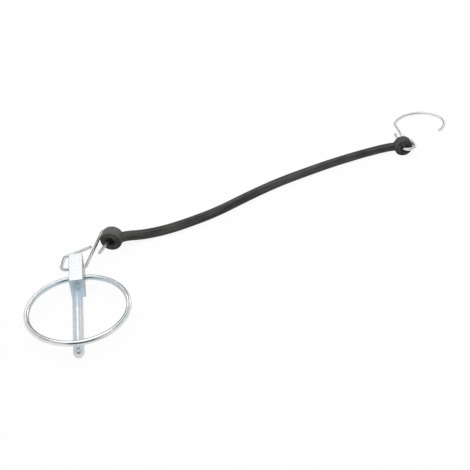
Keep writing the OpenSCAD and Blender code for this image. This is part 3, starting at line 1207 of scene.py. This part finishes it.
@dataclass
class Strap:
    """The round rubber strap from eye to eye, in millimetres.

    The route has the ring's pivot as x = 0 and y = 0.
    """

    pivot_y: float  # in metres
    radius: float = 2.5
    neck: float = 0.22  # how much wider the radius is at an eye
    neck_length: float = 2.6
    flash: float = 0.04  # height of the parting line
    sides: int = 48
    route: tuple[Point, ...] = (
        (19, 28.4, 5), (20.5, 29.3, 4.9), (22.5, 30.4, 4.6), (25, 31.3, 4.1), (28, 32, 3.5), (31, 32.8, 2.9),
        (35, 33.6, 2.6), (40, 34.6, 2.5), (46, 36.2, 2.5), (53, 38.7, 2.5), (60, 41.6, 2.5), (67, 44.8, 2.5),
        (75, 49.1, 2.5), (83, 54, 2.5), (91, 58.8, 2.5), (99, 63.4, 2.5), (107, 67.7, 2.5), (116, 72, 2.5),
        (125, 75.9, 2.5), (134, 79.7, 2.5), (143, 83.3, 2.5), (152, 86.6, 2.5), (160, 89.3, 2.5),
        (167, 91.4, 2.6), (172, 92.5, 2.8), (176, 93, 3.2), (180, 93, 3.8), (184, 92.7, 4.4),
        (187.5, 92.1, 4.8),
    )

    def line(self, parts: int = 4) -> list[Vector]:
        """Smooth the route.

        Args:
            parts: Number of stretches between two points of the route.

        Returns:
            Points of the middle line in metres, in the row frame.
        """
        p = [in_mm(x, y, z) + Vector((0.0, self.pivot_y, 0.0)) for x, y, z in self.route]
        p = [2 * p[0] - p[1]] + p + [2 * p[-1] - p[-2]]
        made: list[Vector] = []
        for a, b, c, d in zip(p, p[1:], p[2:], p[3:]):
            for t in (k / parts for k in range(parts)):
                point = 2 * b + (c - a) * t
                point += (2 * a - 5 * b + 4 * c - d) * t**2
                point += (3 * b - a - 3 * c + d) * t**3
                made.append(0.5 * point)
        return made + [p[-2]]

    def _swell(self, along: float, whole: float) -> float:
        """Return the radius at a length along the strap, wider where it runs into an eye."""
        near = min(along, whole - along) / MM
        return self.radius - self.flash + self.neck * max(0.0, 1 - near / self.neck_length) ** 2

    def build(self, material: bpy.types.Material) -> Piece:
        """Draw the strap along its route and dress it.

        Args:
            material: The rubber's material.

        Returns:
            The strap.
        """
        line = self.line()
        lengths = [0.0]
        for a, b in zip(line, line[1:]):
            lengths.append(lengths[-1] + (b - a).length)
        bm = bmesh.new()
        grain = bm.verts.layers.float_vector.new("grain")
        loop = circle_edges(bm, 1.0, self.sides, Matrix.Identity(4))
        verts = verts_of(loop)
        # The top and the bottom point stand proud, as the parting line's flash.
        for v in verts:
            if abs(v.co.x) < TINY:
                v.co.y *= 1 + self.flash / self.radius
        before = Matrix.Identity(4)
        for k, (point, along) in enumerate(zip(line, lengths)):
            way = (line[min(k + 1, len(line) - 1)] - line[max(k - 1, 0)]).normalized()
            across = way.cross(Vector((0.0, 0.0, 1.0))).normalized()
            up = across.cross(way)
            turn = Matrix((across, up, way)).transposed().to_4x4()
            wide = Matrix.Scale(self._swell(along, lengths[-1]), 4)
            here = Matrix.Translation(point) @ turn @ wide @ Matrix.Scale(MM, 4)
            if k:
                loop, verts = drawn_out(bm, loop)
            bmesh.ops.transform(bm, matrix=here @ before.inverted(), verts=verts)
            before = here
            for v in verts:
                out = v.co - point
                v[grain] = Vector((out.dot(across), out.dot(up), along))
            if k == 0:
                capped(bm, loop)
        capped(bm, loop)
        piece = finish_mesh(bm, "rubber_strap", Matrix.Identity(4), crease=50.0)
        return dress(piece, material, Slot.RUBBER, "tether_body", "tether")

    def declare(self) -> None:
        """Work out the strap's middle line; nothing more is done with it.
        """
        line = self.line()


@dataclass(frozen=True)
class Softbox:
    """A soft lamp, in metres and watts."""

    name: str
    place: Point
    aim: Point
    size: tuple[float, float]
    power: float
    in_metal: bool = True  # whether it shows in the plating

    def hang(self) -> Piece:
        """Hang the lamp.

        Returns:
            The lamp.
        """
        data = bpy.data.lights.new(self.name, "AREA")
        data.shape, data.energy = "RECTANGLE", self.power
        data.size, data.size_y = self.size
        made = bpy.data.objects.new(self.name, data)
        made.location = self.place
        made.visible_glossy = self.in_metal
        made.rotation_euler = (Vector(self.aim) - Vector(self.place)).to_track_quat("-Z", "Y").to_euler()
        bpy.context.scene.collection.objects.link(made)
        return made


@dataclass
class Studio:
    """The camera, the floor and the lights, in metres and degrees.

    The bands are the walls' shades by height. The dims and the flags darken the walls towards one side, by
    how squarely a place on them faces that side.
    """

    lens: float = 50.82  # in millimetres
    sensor: float = 36.0  # in millimetres
    eye: Point = (0.024815, -0.220281, 0.191967)
    tilt: float = 54.509
    heading: float = -11.044
    clip: tuple[float, float] = (0.01, 20.0)
    floor_half: float = 2.5
    floor_middle: Point = (0.1, 0.06, 0.0)
    sky: float = 1.0
    tone: Colour = (0.98, 0.99, 1.0)
    bands: Outline = (
        (0.0, 0.62), (0.17, 0.60), (0.24, 1.0), (0.36, 1.0), (0.43, 0.60), (0.53, 0.62), (0.60, 0.72),
        (0.75, 0.44),
    )
    dim_side: Point = (0.056, -0.807, 0.588)
    dims: Stops = ((0.79, WHITE), (0.866, (0.50, 0.51, 0.52)), (0.93, (0.12, 0.125, 0.13)))
    flag_side: Point = (-0.050, 0.960, 0.276)
    flags: Stops = ((0.883, WHITE), (0.94, (0.35, 0.37, 0.39)))
    lamps: tuple[Softbox, ...] = (
        Softbox("back_softbox", (-0.06, 0.70, 0.87), (0.0, 0.0, 0.0), (0.52, 0.30), 0.80),
        Softbox("left_softbox", (-0.325, 0.893, 0.594), (0.0, 0.0, 0.0), (0.22, 0.22), 0.27),
        Softbox("right_softbox", (0.66, 0.92, 0.44), (0.2, 0.1, 0.0), (0.25, 0.36), 0.30),
        Softbox("top_softbox", (0.05, 0.02, 1.14), (0.08, 0.05, 0.0), (1.2, 1.05), 2.7),
        Softbox("fill_softbox", (0.05, 0.02, 1.20), (0.08, 0.05, 0.0), (1.2, 1.05), 4.6, in_metal=False),
    )

    def camera(self) -> Piece:
        """Set up the camera.

        Returns:
            The camera.
        """
        data = bpy.data.cameras.new("camera")
        data.sensor_width, data.lens = self.sensor, self.lens
        data.clip_start, data.clip_end = self.clip
        made = bpy.data.objects.new("camera", data)
        made.location = self.eye
        made.rotation_euler = (math.radians(self.tilt), 0.0, math.radians(self.heading))
        bpy.context.scene.collection.objects.link(made)
        bpy.context.scene.camera = made
        return made

    def floor(self) -> Piece:
        """Lay the paper floor.

        Returns:
            The floor.
        """
        bm = bmesh.new()
        bmesh.ops.create_grid(bm, x_segments=2, y_segments=2, size=self.floor_half)
        bmesh.ops.translate(bm, verts=bm.verts, vec=self.floor_middle)
        made = linked("floor", bm)
        made.data.materials.append(StudioPaper().material())
        return made

    def world(self) -> bpy.types.World:
        """Surround the set with pale walls in lighter and greyer bands, dim on the camera's side.

        Returns:
            The world.
        """
        g = Graph(bpy.data.worlds.new("studio"))
        bpy.context.scene.world = g.owner
        where = g.node("TexCoord").outputs["Generated"]
        height = g.node("SeparateXYZ", None, Vector=where).outputs["Z"]
        red, green, blue = self.tone
        shades = [(place, (red * shade, green * shade, blue * shade)) for place, shade in self.bands]
        walls = g.ramp(height, shades)
        for side, stops in ((self.flag_side, self.flags), (self.dim_side, self.dims)):
            towards = g.dot(where, tuple(Vector(side).normalized()))
            walls = g.mixed(1.0, walls, g.ramp(towards, stops), "MULTIPLY")
        sky = g.node("Background", None, Color=walls, Strength=self.sky)
        clear = g.node("Background", None, Color=opaque(WHITE), Strength=1.0)
        g.show(g.blended(g.rays()[0], sky, clear), "OutputWorld")
        return g.owner

    def build(self) -> None:
        """Set the whole studio up."""
        self.camera()
        self.floor()
        self.world()
        for lamp in self.lamps:
            lamp.hang()
        log.info("studio ready")


def main() -> None:
    """Build the studio and every piece of the lynch pin."""
    logging.basicConfig(level=logging.INFO, format="%(name)s: %(message)s")
    bpy.context.scene.view_settings.view_transform = "Standard"
    Studio().build()

    near = Eye("near_eye", place_of("tether_swing"), heading_of("tether_swing"))
    far = Eye("far_eye", place_of("hook_swing"), heading_of("hook_swing"))
    strap = Strap(place_of("ring_swing").y)
    cord = strap.build(MouldedRubber(
        "strap_rubber", deep=(0.031, 0.0315, 0.030), bloom=(0.0985, 0.099, 0.090), follows=True,
    ).material())
    eyes = [
        # The near eye carries painted light on its top.
        near.build(MouldedRubber(
            "near_eye_rubber", flow=even(330.0), painted_top_light=(7.2, 9.8), centre=near.centre,
            heading=near.heading,
        )),
        far.build(MouldedRubber(
            "far_eye_rubber", bloom=(0.083, 0.0835, 0.0755), flow=even(330.0), centre=far.centre,
            heading=far.heading,
        )),
    ]
    hook = Hook().build(far, BrightZinc(
        "hook_zinc", pale=(0.93, 0.935, 0.92), blue=(0.85, 0.87, 0.86), smooth=0.26, dull=0.34, depth=0.003,
        shade=0.2, spots=0.12, along_wire=True,
    ))
    strap.declare()

    pin = Pin(place_of("ring_swing"), shaft_slope())
    # The pin's painted shade darkens its end face and the shaft's root.
    pin.build(BrightZinc(
        "pin_zinc", pale=(0.82, 0.845, 0.875), blue=(0.67, 0.73, 0.775), smooth=0.30, dull=0.36, depth=0.004,
        lines=(2600.0, 60.0, 2600.0), streaks=(430.0, 36.0, 430.0), shade=0.12, spots=0.10,
        # sides: painted shade on the head's broad sides
        painted_shade=PaintedShade(start=-4.0, full=6.8, still=10.34, gone=10.65, way=pin.along), sides=(2.74, 2.98),
    ))
    # The ring's painted shade darkens its back near the head.
    SpringRing().build(pin, BrightZinc(
        "ring_zinc", pale=(0.92, 0.925, 0.925), blue=(0.75, 0.79, 0.81), smooth=0.07, dull=0.15, depth=0.004,
        painted_shade=PaintedShade(start=2.0, full=13.0, still=40.0, gone=41.0, share=0.5), along_wire=True,
    ))
    cross_hole = place_of("link_swing")
    Link(cross_hole, slope_of(cross_hole, near.centre)).build(BrightZinc(
        "link_zinc", pale=(0.76, 0.77, 0.735), blue=(0.61, 0.64, 0.61), smooth=0.18, dull=0.27, depth=0.003,
        shade=0.3, spots=0.12, along_wire=True,
    ))


if __name__ == "__main__":
    main()
